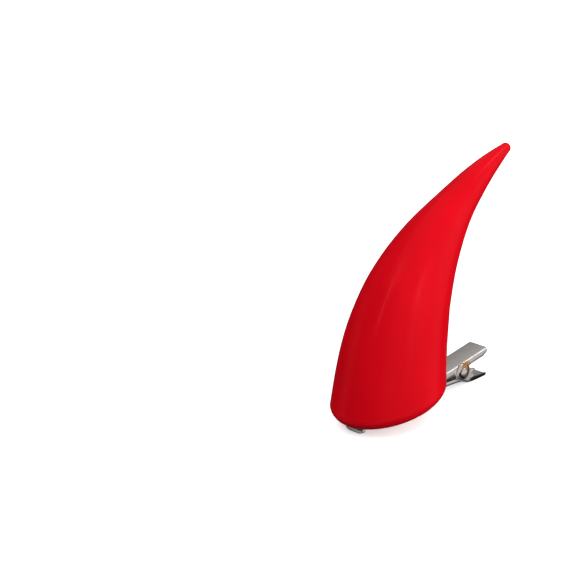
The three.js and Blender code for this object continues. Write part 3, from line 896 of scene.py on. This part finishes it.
def moulded_red_pvc():
    """Soft PVC, moulded: an even, deep red whose satin-gloss skin wavers a little in what it mirrors."""
    material, tree, shader = new_material("moulded_red_pvc")
    place = add_node(tree, "ShaderNodeTexCoord").outputs["Object"]
    red = settings().finish.red
    deeper = tuple(channel * 0.93 for channel in red)
    paler = tuple(min(channel * 1.05, 1) for channel in red)
    cloud = add_node(tree, "ShaderNodeTexNoise", {"Scale": 1 / CLOUD, "Detail": 2.0}, {"Vector": place})
    drift = {"Fac": cloud.outputs["Fac"]}
    tint = add_node(tree, "ShaderNodeValToRGB", None, drift, ((0.3, deeper), (0.7, paler)))
    gloss = add_node(tree, "ShaderNodeValToRGB", None, drift, ((0.3, 0.13), (0.7, 0.19)))
    ripple = add_node(tree, "ShaderNodeTexNoise", {"Scale": 1 / RIPPLE, "Detail": 1.0}, {"Vector": place})
    waves = add_node(
        tree, "ShaderNodeBump", {"Strength": 0.25, "Distance": 0.25 * MM}, {"Height": ripple.outputs["Fac"]}
    )
    skin = add_node(tree, "ShaderNodeTexNoise", {"Scale": 1 / PORE, "Detail": 3.0}, {"Vector": place})
    pores = add_node(
        tree, "ShaderNodeBump", {"Strength": 0.12, "Distance": 0.02 * MM},
        {"Height": skin.outputs["Fac"], "Normal": waves.outputs["Normal"]},
    )
    fill(tree, shader, {"IOR": 1.53, "Specular IOR Level": 0.045}, {
        "Base Color": tint.outputs["Color"],
        "Roughness": gloss.outputs["Color"],
        "Normal": pores.outputs["Normal"],
    })
    return material


def side_of_clip(tree, place):
    """(place from the pivot, its parts, how far it is out sideways) in the clip's frame."""
    turned = clip_to_world()
    values = {"Location": turned @ clip_places()["pivot"], "Rotation": turned.to_euler()}
    mapping = add_node(tree, "ShaderNodeMapping", values, {"Vector": place}, vector_type="TEXTURE")
    from_pivot = mapping.outputs["Vector"]
    parts = add_node(tree, "ShaderNodeSeparateXYZ", links={"Vector": from_pivot}).outputs
    out = add_node(tree, "ShaderNodeMath", None, {0: parts["Y"]}, operation="ABSOLUTE")
    return from_pivot, parts, out.outputs["Value"]


def plated_strip():
    """Nickel-plated rolled strip: fine grain along its length, a painted warm reflection in amber
    behind the rivet, and painted shade round the rivet and on the outside of the lower lever."""
    known = bpy.data.materials.get("nickel_plated_strip")
    if known:
        return known
    material, tree, shader = new_material("nickel_plated_strip")
    clip, finish, lower_half = settings().clip, settings().finish, clip_places()["lower_width"] / 2
    place = add_node(tree, "ShaderNodeTexCoord").outputs["Object"]
    from_pivot, parts, out = side_of_clip(tree, place)
    # The outside of the ears, and there the amber oval in blotches: a painted warm reflection
    ear = (out, clip.width / 2 - 0.35 * MM, clip.width / 2 - 0.05 * MM)
    patches = add_node(tree, "ShaderNodeTexNoise", {"Scale": 1 / PATCH, "Detail": 3.0}, {"Vector": place})
    painted_reflection = mask(
        tree, (oval_reach(tree, from_pivot, REFLECTION_CENTRE, REFLECTION_HALVES), 1.0, 0.75), ear,
        (patches.outputs["Fac"], 0.25, 0.45),
    )
    # A ring of painted shade about the boss, from the pivot's height down and ahead
    reach = oval_reach(tree, from_pivot, (0, 0), (1, 1))
    painted_shade_ring = mask(
        tree, (reach, *RING_INSIDE), (reach, *RING_OUTSIDE), ear,
        (parts["Z"], 0.9 * MM, 0.3 * MM), (parts["X"], 0.6 * MM, -0.3 * MM),
    )
    # Painted shade on the outside of the lower lever behind its knee
    painted_shade_lever = mask(
        tree, (parts["X"], clip.knee_behind - 0.4 * MM, clip.knee_behind + 0.4 * MM),
        (parts["Z"], -clip.belly_drop - 0.1 * MM, -clip.belly_drop - 0.5 * MM),
        (out, lower_half - 0.35 * MM, lower_half - 0.1 * MM),
    )
    # Where either painted shade goes
    painted_shade_mask = add_node(
        tree, "ShaderNodeMath", None, {0: painted_shade_lever, 1: painted_shade_ring}, operation="ADD", use_clamp=True
    )
    cast = add_node(
        tree, "ShaderNodeMix", {FIRST: (*finish.nickel, 1), SECOND: (*finish.amber, 1)}, {FACTOR: painted_reflection},
        data_type="RGBA",
    )
    with_painted_shade = add_node(
        tree, "ShaderNodeMix", {SECOND: (*finish.painted_shade_colour, 1)},
        {FACTOR: painted_shade_mask.outputs["Value"], FIRST: cast.outputs[MIXED]}, data_type="RGBA",
    )
    along = add_node(
        tree, "ShaderNodeMapping", {"Scale": (GRAIN_STRETCH, 1, 1)}, {"Vector": from_pivot},
        vector_type="TEXTURE",
    )
    noise = {"Scale": 1 / GRAIN, "Detail": 4.0}
    grain = add_node(tree, "ShaderNodeTexNoise", noise, {"Vector": along.outputs["Vector"]}).outputs["Fac"]
    gloss = add_node(tree, "ShaderNodeValToRGB", None, {"Fac": grain}, ((0.3, 0.24), (0.7, 0.36)))
    bump = add_node(tree, "ShaderNodeBump", {"Strength": 0.35, "Distance": 0.02 * MM}, {"Height": grain})
    fill(tree, shader, {"Metallic": 1}, {
        "Base Color": with_painted_shade.outputs[MIXED],
        "Roughness": gloss.outputs["Color"],
        "Normal": bump.outputs["Normal"],
    })
    return material


def bright_rivet():
    """Plated steel rivet, upset by a punch: bright, with a slightly uneven dome."""
    material, tree, shader = new_material("bright_plated_rivet")
    place = add_node(tree, "ShaderNodeTexCoord").outputs["Object"]
    noise = {"Scale": 1 / PIT, "Detail": 3.0}
    pits = add_node(tree, "ShaderNodeTexNoise", noise, {"Vector": place}).outputs["Fac"]
    bright = tuple(settings().finish.rivet)
    dull = tuple(channel * 0.9 for channel in bright)
    tint = add_node(tree, "ShaderNodeValToRGB", None, {"Fac": pits}, ((0.35, dull), (0.65, bright)))
    bump = add_node(tree, "ShaderNodeBump", {"Strength": 0.3, "Distance": 0.03 * MM}, {"Height": pits})
    fill(tree, shader, {"Metallic": 1, "Roughness": 0.2}, {
        "Base Color": tint.outputs["Color"],
        "Normal": bump.outputs["Normal"],
    })
    return material


def spring_wire():
    """Brass-toned drawn wire: uneven tone from the die and a soft shine."""
    material, tree, shader = new_material("drawn_brass_toned_wire")
    place = add_node(tree, "ShaderNodeTexCoord").outputs["Object"]
    noise = {"Scale": 1 / DIE_LINE, "Detail": 2.0}
    lines = add_node(tree, "ShaderNodeTexNoise", noise, {"Vector": place}).outputs["Fac"]
    bright = tuple(settings().finish.brass)
    dull = tuple(channel * 0.75 for channel in bright)
    tint = add_node(tree, "ShaderNodeValToRGB", None, {"Fac": lines}, ((0.3, dull), (0.7, bright)))
    fill(tree, shader, {"Metallic": 1, "Roughness": 0.32}, {"Base Color": tint.outputs["Color"]})
    return material


def opal_floor():
    """Opal acrylic sheet, sanded and lit from below: pale and matt, with faint shadows only."""
    material, tree, shader = new_material("sanded_opal_acrylic")
    pale = (*settings().finish.floor, 1)
    fill(tree, shader, {
        "Base Color": pale, "Roughness": 0.9, "Emission Color": pale, "Emission Strength": 0.5,
    })
    return material


# Stage

# How the camera stands to the horn, in the horn's own frame: the aimed-at point is this far away
# and shows at this pixel. Lens and sensor are in millimetres
PHOTO_SIZE = 576
AIM_PIXEL = (396.3, 317.0)
AIM_POINT = (8 * MM, 0, 22 * MM)
AZIMUTH = math.radians(-38.43)
ELEVATION = math.radians(27.36)
ROLL = math.radians(-11.93)
DISTANCE = 0.65
LENS = 153.2
SENSOR = 36.0
NEAREST_SEEN = 0.01
FLOOR_SIZE = 6.0
# Brightness of the room by height: 0 straight down, 0.5 level, 1 straight up. What is matt is lit
# by the first. What shines mirrors the second, and the third in the back part of the room
MATT_WALLS = ((0.0, 0.3), (0.5, 0.3), (0.65, 0.8), (1.0, 1.0))
MIRRORED_FRONT = ((0.0, 0.05), (0.2, 0.3), (0.33, 0.95), (0.5, 0.8), (0.7, 0.55), (1.0, 0.9))
MIRRORED_BACK = ((0.0, 0.02), (0.5, 0.02), (0.62, 0.16), (0.72, 0.32), (1.0, 0.8))
# Fixed parts of the room, each round one way out from the middle. The cosine to that way says
# where a part starts and where it is whole, and one value outside becomes another inside
BACK_PART = {"way": (0.6, 0.7, -0.39), "start": 0.15, "whole": 0.55, "outside": 0.0, "inside": 1.0}
DIM_PART = {"way": (-0.85, 0.5, 0.15), "start": 0.2, "whole": 1.0, "outside": 1.0, "inside": 0.35}
DARK_PARTS = (
    {"way": (-0.936, 0.082, 0.342), "start": 0.68, "whole": 0.8, "outside": 1.0, "inside": 0.12},
    {"way": (-0.35, 0.87, 0.33), "start": 0.68, "whole": 0.8, "outside": 1.0, "inside": 0.12},
)
# In degrees round from the front and up, metres and watts. What shines mirrors the strips alone
SOFT_LIGHTS = (
    {"name": "front", "azimuth": 9, "elevation": 16, "away": 0.9, "size": (0.6, 0.6), "power": 3.9},
    {"name": "key", "azimuth": 62, "elevation": 12, "away": 0.9, "size": (0.9, 0.5), "power": 4.0},
    {"name": "rim", "azimuth": -140, "elevation": 8, "away": 0.9, "size": (0.4, 0.5), "power": 1.3},
    {"name": "high_left", "azimuth": -88, "elevation": 60, "away": 0.9, "size": (0.5, 0.4), "power": 1.9},
)
STRIP_LIGHTS = (
    {"name": "left_strip", "azimuth": -88, "elevation": 48, "away": 0.8, "size": (0.03, 0.5), "power": 0.3},
    {"name": "right_strip", "azimuth": 3, "elevation": 26, "away": 0.8, "size": (0.03, 0.2), "power": 0.15},
    {"name": "bend_strip", "azimuth": 56, "elevation": 46, "away": 0.8, "size": (0.3, 0.2), "power": 0.75},
)


def make_camera():
    """The camera at the photo's angle to the horn. Returns the point that it aims at."""
    data = bpy.data.cameras.new("camera")
    data.lens = LENS
    data.sensor_width = SENSOR
    data.clip_start = NEAREST_SEEN
    camera = bpy.data.objects.new("camera", data)
    bpy.context.scene.collection.objects.link(camera)
    look = Vector((
        -math.sin(AZIMUTH) * math.cos(ELEVATION),
        math.cos(AZIMUTH) * math.cos(ELEVATION),
        -math.sin(ELEVATION),
    ))
    level = look.cross(Vector((0, 0, 1))).normalized()
    up = level.cross(look)
    right = level * math.cos(ROLL) + up * math.sin(ROLL)
    turned = horn_to_world().to_3x3()
    look, right = turned @ look, turned @ right
    up = right.cross(look)
    focal = LENS / SENSOR * PHOTO_SIZE
    across = (AIM_PIXEL[0] - PHOTO_SIZE / 2) / focal
    down = (AIM_PIXEL[1] - PHOTO_SIZE / 2) / focal
    target = horn_to_world() @ Vector(AIM_POINT)
    place = target - look * DISTANCE
    forward = (look - right * across + up * down).normalized()
    right = (right - forward * right.dot(forward)).normalized()
    up = right.cross(forward)
    turn = Matrix((right, up, -forward)).transposed().to_4x4()
    camera.matrix_world = Matrix.Translation(place) @ turn
    bpy.context.scene.camera = camera
    return target


def add_light(target, name, azimuth, elevation, away, size, power):
    data = bpy.data.lights.new(name, "AREA")
    data.shape = "RECTANGLE"
    data.size, data.size_y = size
    data.energy = power
    light = bpy.data.objects.new(name, data)
    bpy.context.scene.collection.objects.link(light)
    turn, rise = math.radians(azimuth), math.radians(elevation)
    out = Vector((math.sin(turn) * math.cos(rise), -math.cos(turn) * math.cos(rise), math.sin(rise)))
    light.location = target + out * away
    light.rotation_euler = (-out).to_track_quat("-Z", "Y").to_euler()
    return light


def make_studio_walls():
    """Soft light from all round, dimmer low down, with darker parts for what shines to mirror."""
    world = bpy.data.worlds.new("studio")
    bpy.context.scene.world = world
    world.use_nodes = True
    tree = world.node_tree
    direction = add_node(tree, "ShaderNodeTexCoord").outputs["Generated"]
    parts = add_node(tree, "ShaderNodeSeparateXYZ", links={"Vector": direction})
    height = mask(tree, (parts.outputs["Z"], -1.0, 1.0))
    matt, front, back = (
        add_node(tree, "ShaderNodeValToRGB", None, {"Fac": height}, stops).outputs["Color"]
        for stops in (MATT_WALLS, MIRRORED_FRONT, MIRRORED_BACK)
    )

    def part_of_room(way, start, whole, outside, inside):
        towards = add_node(tree, "ShaderNodeVectorMath", {1: way}, {0: direction}, operation="DOT_PRODUCT")
        values = {"From Min": start, "From Max": whole, "To Min": outside, "To Max": inside}
        part = add_node(tree, "ShaderNodeMapRange", values, {"Value": towards.outputs["Value"]})
        return part.outputs["Result"]

    def dimmed(brightness, part):
        links = {0: brightness, 1: part_of_room(**part)}
        return add_node(tree, "ShaderNodeVectorMath", None, links, operation="MULTIPLY").outputs["Vector"]

    links = {FACTOR: part_of_room(**BACK_PART), FIRST: front, SECOND: back}
    mirrored = add_node(tree, "ShaderNodeMix", None, links, data_type="RGBA").outputs[MIXED]
    for part in DARK_PARTS:
        mirrored = dimmed(mirrored, part)
    shining = add_node(tree, "ShaderNodeLightPath").outputs["Is Glossy Ray"]
    links = {FACTOR: shining, FIRST: dimmed(matt, DIM_PART), SECOND: mirrored}
    seen = add_node(tree, "ShaderNodeMix", None, links, data_type="RGBA")
    fill(tree, tree.nodes["Background"], None, {"Color": seen.outputs[MIXED]})


def build_stage():
    bpy.context.scene.view_settings.view_transform = "Standard"
    make_studio_walls()
    half = FLOOR_SIZE / 2
    corners = [(-half, -half, 0), (half, -half, 0), (half, half, 0), (-half, half, 0)]
    floor = new_object("floor", corners, [(0, 1, 2, 3)])
    floor.data.materials.append(opal_floor())
    floor.visible_glossy = False
    floor.visible_diffuse = False
    target = make_camera()
    for light in SOFT_LIGHTS:
        add_light(target, **light).visible_glossy = False
    for light in STRIP_LIGHTS:
        add_light(target, **light)


# Add-on


class HORNCLIP_OT_add_horn(bpy.types.Operator):
    """Adds the hollow moulded horn"""

    bl_idname = "hornclip.add_horn"
    bl_label = "Add horn"
    bl_options = {"REGISTER", "UNDO"}

    def execute(self, context):
        build_horn()
        return {"FINISHED"}


class HORNCLIP_OT_add_upper(bpy.types.Operator):
    """Adds the upper jaw and lever of the clip"""

    bl_idname = "hornclip.add_upper"
    bl_label = "Add upper half"
    bl_options = {"REGISTER", "UNDO"}

    def execute(self, context):
        build_upper()
        return {"FINISHED"}


class HORNCLIP_OT_add_lower(bpy.types.Operator):
    """Adds the toothed lower jaw and lever"""

    bl_idname = "hornclip.add_lower"
    bl_label = "Add lower half"
    bl_options = {"REGISTER", "UNDO"}

    def execute(self, context):
        build_lower()
        return {"FINISHED"}


class HORNCLIP_OT_add_rivet(bpy.types.Operator):
    """Adds the rivet through the ears"""

    bl_idname = "hornclip.add_rivet"
    bl_label = "Add rivet"
    bl_options = {"REGISTER", "UNDO"}

    def execute(self, context):
        build_rivet()
        return {"FINISHED"}


class HORNCLIP_OT_add_spring(bpy.types.Operator):
    """Adds the coil spring about the rivet"""

    bl_idname = "hornclip.add_spring"
    bl_label = "Add spring"
    bl_options = {"REGISTER", "UNDO"}

    def execute(self, context):
        build_spring()
        return {"FINISHED"}


class HORNCLIP_OT_add_stage(bpy.types.Operator):
    """Adds floor, lights and camera"""

    bl_idname = "hornclip.add_stage"
    bl_label = "Add stage"
    bl_options = {"REGISTER", "UNDO"}

    def execute(self, context):
        build_stage()
        return {"FINISHED"}


OPERATORS = (
    HORNCLIP_OT_add_horn,
    HORNCLIP_OT_add_upper,
    HORNCLIP_OT_add_lower,
    HORNCLIP_OT_add_rivet,
    HORNCLIP_OT_add_spring,
    HORNCLIP_OT_add_stage,
)


class HORNCLIP_PT_panel(bpy.types.Panel):
    """Sizes, colours and builders of the horn clip"""

    bl_idname = "HORNCLIP_PT_panel"
    bl_label = "Devil horn hair clip"
    bl_space_type = "VIEW_3D"
    bl_region_type = "UI"
    bl_category = "Horn clip"

    def draw(self, context):
        for title in ("horn", "clip", "spring", "finish"):
            group = getattr(settings(), title)
            box = self.layout.box()
            box.label(text=title.capitalize())
            for name in group.bl_rna.properties.keys():
                if name not in ("rna_type", "name"):
                    box.prop(group, name)
        for operator in OPERATORS:
            self.layout.operator(operator.bl_idname)


GROUPS = (HornSizes, ClipSizes, SpringSizes, FinishColours, HornClipSettings)
CLASSES = GROUPS + OPERATORS + (HORNCLIP_PT_panel,)


def register():
    for made in CLASSES:
        bpy.utils.register_class(made)
    bpy.types.Scene.horn_clip = PointerProperty(type=HornClipSettings)


def unregister():
    del bpy.types.Scene.horn_clip
    for made in reversed(CLASSES):
        bpy.utils.unregister_class(made)


def main():
    register()
    for operator in OPERATORS:
        getattr(bpy.ops.hornclip, operator.bl_idname.split(".")[1])()


if __name__ == "__main__":
    main()
